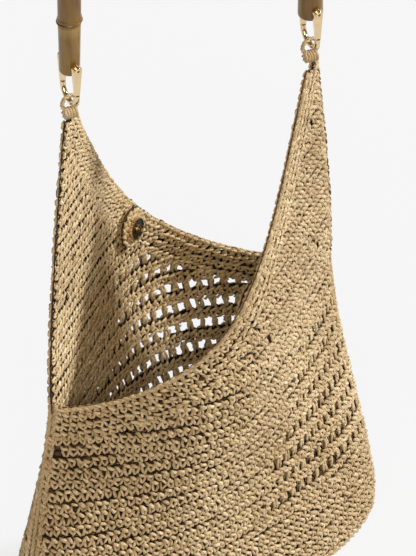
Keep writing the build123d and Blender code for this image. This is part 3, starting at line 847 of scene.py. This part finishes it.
runs = [np.linspace(0, END_ROUND, 8), np.linspace(END_ROUND, CANE_ALL - END_ROUND, 420)[1:-1],
        np.linspace(CANE_ALL - END_ROUND, CANE_ALL, 8)]
runs += [at + np.linspace(-6, 6, 40) for at in node_runs]
run = np.unique(np.concatenate(runs).round(3))
middle, outward, radius = cane_rings(run)
across = np.cross(HANG_LINE, UPRIGHT)
theta = np.linspace(0, 2 * math.pi, ROUND, endpoint=False)
skew_run = np.repeat(run[:, None], ROUND, 1)
radii = np.repeat(radius[:, None], ROUND, 1)
for number, at in enumerate(node_runs):     # ridge, shoulder, groove and swelling of each node
    d = skew_run - at + 0.9 * np.cos(theta - 1.3 * number)[None]
    d = d if at < CANE_ALL / 2 else -d
    radii = (radii + 1.15 * np.exp(-(d / 0.9) ** 2) + 0.55 * np.exp(-((d - 2.4) / 1.2) ** 2)
             - 0.45 * np.exp(-((d + 1.9) / 0.9) ** 2) + 0.25 * np.exp(-(d / 6.0) ** 2))
radii = radii * (1 + 0.012 * np.sin(theta * 2 + run[:, None] * 0.02) - 0.012 * np.cos(run[:, None] / 21.0))
end = np.minimum(run, CANE_ALL - run)
into_round = np.maximum(END_ROUND - end, 0)
radii = radii - (END_ROUND - np.sqrt(np.maximum(END_ROUND ** 2 - into_round ** 2, 0)))[:, None]
points = (middle[:, None] + radii[..., None] * (np.cos(theta)[None, :, None] * outward[:, None]
          + np.sin(theta)[None, :, None] * across)).reshape(-1, 3)
rings = len(run)
i, j = np.meshgrid(np.arange(rings - 1), np.arange(ROUND), indexing="ij")
j_next = (j + 1) % ROUND
faces = np.stack([i * ROUND + j, i * ROUND + j_next, (i + 1) * ROUND + j_next, (i + 1) * ROUND + j], -1)
faces = faces.reshape(-1, 4)
points = np.concatenate([points, middle[:1], middle[-1:]])
ends = [(len(points) - 2, (n + 1) % ROUND, n) for n in range(ROUND)]
last = (rings - 1) * ROUND
ends += [(len(points) - 1, last + n, last + (n + 1) % ROUND) for n in range(ROUND)]
cane_mesh = bpy.data.meshes.new("bamboo_cane")
cane_mesh.from_pydata((points * MM).tolist(), [], faces.tolist() + ends)
cane_map = cane_mesh.uv_layers.new(name="strand")
corner_at = np.zeros(len(cane_mesh.loops), np.int32)
cane_mesh.loops.foreach_get("vertex_index", corner_at)
per_point = np.concatenate([np.stack([np.tile(theta / (2 * math.pi), rings), np.repeat(run, ROUND)], -1),
                            [[0.5, 0.0], [0.5, CANE_ALL]]])
values = per_point[corner_at]
quads = values[: 4 * len(faces)].reshape(-1, 4, 2)
at_seam = (quads[..., 0].max(1) - quads[..., 0].min(1)) > 0.5       # where the map starts again
quads[at_seam, :, 0] += quads[at_seam, :, 0] < 0.5
cane_map.data.foreach_set("uv", values.astype(np.float32).ravel())
for polygon in cane_mesh.polygons:
    polygon.use_smooth = True
cane = bpy.data.objects.new("bamboo_cane", cane_mesh)
bpy.context.scene.collection.objects.link(cane)
print("cane length", round(CANE_ALL), "mm, nodes at", [round(n) for n in node_runs])


# %% Bamboo
bamboo, tree, shader = material("bamboo")
cane_place = node(tree, "ShaderNodeUVMap", uv_map="strand").outputs[0]
split = node(tree, "ShaderNodeSeparateXYZ", {0: cane_place})
share = node(tree, "ShaderNodeMath", {0: split.outputs[1], 1: 1 / CANE_ALL}, operation="MULTIPLY").outputs[0]
TAN, PALE, DARK = (0.24, 0.145, 0.020), (0.40, 0.28, 0.075), (0.06, 0.027, 0.008)
stops = [(0.0, DARK), (0.004, TAN)]
for at in node_runs:
    sign = 1 if at < CANE_ALL / 2 else -1
    marks = [(at - 14 * sign, TAN), (at - 3.2 * sign, PALE), (at - 1.4 * sign, DARK), (at + 1.0 * sign, TAN)]
    stops += [(spot / CANE_ALL, colour) for spot, colour in marks]
stops += [(0.997, TAN), (1.0, DARK)]
along_cane = ramp(tree, share, *sorted(stops))
grain = placed(tree, fibres, Map=cane_place, Across=46.0, Along=0.03)
stain = placed(tree, fibres, Map=cane_place, Across=3.0, Along=0.012)
stained = ramp(tree, stain, (0.36, (1, 1, 1)), (0.52, (0.72, 0.60, 0.40)), (0.66, (0.40, 0.27, 0.13)))
grained = ramp(tree, grain, (0.3, (0.78, 0.74, 0.66)), (0.62, (1, 1, 1)))
colour = mixed(tree, 1.0, mixed(tree, 1.0, along_cane, stained, "MULTIPLY"), grained, "MULTIPLY")
tree.links.new(colour, shader.inputs["Base Color"])
rough = node(tree, "ShaderNodeMapRange", {"Value": grain, "To Min": 0.26, "To Max": 0.42})
tree.links.new(rough.outputs[0], shader.inputs["Roughness"])
shader.inputs["Coat Weight"].default_value = 0.12
shader.inputs["Coat Roughness"].default_value = 0.2
bumped(tree, shader, grain, 0.25, 0.0003)
cane_mesh.materials.append(bamboo)
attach(cane, "handle")
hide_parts("bamboo_handle")

# %% [markdown]
# ## Metal
# The shackles and the snap keep the frame's own shapes, so only their finish is
# made here. Polished plate is never perfectly even: a soft mottle moves its
# roughness a little, and fine hairlines lie over it. The magnet is a dark nickel
# and the hidden washers are plain steel.

# %% Metal finishes
def metal(name, colour, worn, rough_low, rough_high, metallic=1.0):
    made, tree, shader = material(name)
    cloud = placed(tree, mottle, Scale=260.0, Low=0.3, High=0.7)
    tree.links.new(mixed(tree, cloud, colour, worn), shader.inputs["Base Color"])
    rough = node(tree, "ShaderNodeMapRange", {"Value": cloud, "To Min": rough_low, "To Max": rough_high})
    tree.links.new(rough.outputs[0], shader.inputs["Roughness"])
    shader.inputs["Metallic"].default_value = metallic
    spot = node(tree, "ShaderNodeTexCoord").outputs["Object"]
    lines = placed(tree, fibres, Map=spot, Across=3200.0, Along=260.0)
    bumped(tree, shader, lines, 0.12, 0.00005)
    return made


finishes = {
    "gold_metal": metal("gold_plate", (0.80, 0.62, 0.38), (0.72, 0.54, 0.31), 0.08, 0.2),
    "magnet": metal("dark_nickel", (0.010, 0.011, 0.008), (0.022, 0.022, 0.015), 0.22, 0.34, 0.4),
    "washer_steel": metal("plain_steel", (0.52, 0.52, 0.5), (0.42, 0.42, 0.4), 0.3, 0.45),
}
metal_nodes = {
    "gold_metal": [f"{side}_shackle_{kind}" for side in ("left", "right") for kind in ("bow", "pin", "screw")]
    + ["back_snap_case", "back_snap_eyelet", "front_snap_plate"],
    "magnet": ["back_snap_magnet"],
    "washer_steel": ["front_snap_washer", "back_snap_washer"],
}
for slot, names in metal_nodes.items():
    for name in names:
        for holder in frame["nodes"][name].material_slots:
            holder.material = finishes[slot]
    print(slot, "on", names)

# %% [markdown]
# ## Floor, light and camera
# The bag is shown on a plain pale floor that runs on past the view, under a key
# from the right and above, with a warm soft fill from where the camera stands, so
# that it reaches into the mouth, and a dim even room. The floor gives a little
# light of its own, so that it stays pale and takes only a faint shadow.

# %% Floor
bpy.ops.mesh.primitive_plane_add(size=12, location=(0, 0, (BASE_Z - 2.6) * MM))
floor = bpy.context.object
floor.name = "floor"
finish, tree, shader = material("pale_floor")
floor_cloud = placed(tree, mottle, Scale=3.0, Low=0.2, High=0.8)
floor_colour = mixed(tree, floor_cloud, (0.100, 0.103, 0.110), (0.104, 0.107, 0.114))
tree.links.new(floor_colour, shader.inputs["Base Color"])
shader.inputs["Roughness"].default_value = 0.9
shader.inputs["Specular IOR Level"].default_value = 0.0
shader.inputs["Emission Color"].default_value = (1, 1, 1, 1)
shader.inputs["Emission Strength"].default_value = 0.806
floor.data.materials.append(finish)

# %% Light and camera
RIGHT = np.array((0.7206, -0.6933, 0.0))
UP = np.array((0.3950, 0.4106, 0.8221))
BACK = np.array((-0.5700, -0.5925, 0.5693))      # from the bag towards the camera

scene = bpy.context.scene
scene.view_settings.view_transform = "Standard"
world = bpy.data.worlds.new("soft_room")
scene.world = world
world.use_nodes = True
world.node_tree.nodes["Background"].inputs["Color"].default_value = (1.0, 0.93, 0.83, 1)
world.node_tree.nodes["Background"].inputs["Strength"].default_value = 0.21


def aim(obj, towards):
    """Turns a lamp or camera to look along a direction, upright."""
    obj.rotation_euler = Vector(towards).to_track_quat("-Z", "Y").to_euler()


def sun(name, towards, strength, softness):
    """A far lamp; softness is the angle that it fills, in degrees."""
    lamp = bpy.data.lights.new(name, "SUN")
    lamp.energy, lamp.angle = strength, math.radians(softness)
    made = bpy.data.objects.new(name, lamp)
    scene.collection.objects.link(made)
    aim(made, towards)
    return made


sun("key", (-0.74, 0.48, -0.68), 3.75, 6)
sun("fill", -BACK, 1.36, 35).data.color = (1.0, 0.82, 0.60)

DISTANCE = 12.0         # metres, so far that the view is nearly without perspective
VIEW_HEIGHT = 0.4203    # metres of the bag that the view shows, top to bottom
LOOK_AT = np.array((0, 0, CORNER_Z)) + 13.2 * RIGHT + 40.8 * UP
camera_data = bpy.data.cameras.new("camera")
camera_data.sensor_fit, camera_data.sensor_height = "VERTICAL", 36
camera_data.lens = DISTANCE * camera_data.sensor_height / VIEW_HEIGHT
camera = bpy.data.objects.new("camera", camera_data)
scene.collection.objects.link(camera)
camera.location = LOOK_AT * MM + BACK * DISTANCE
aim(camera, -BACK)
scene.camera = camera
print("lamps:", [lamp.name for lamp in bpy.data.lights], "lens:", round(camera_data.lens))
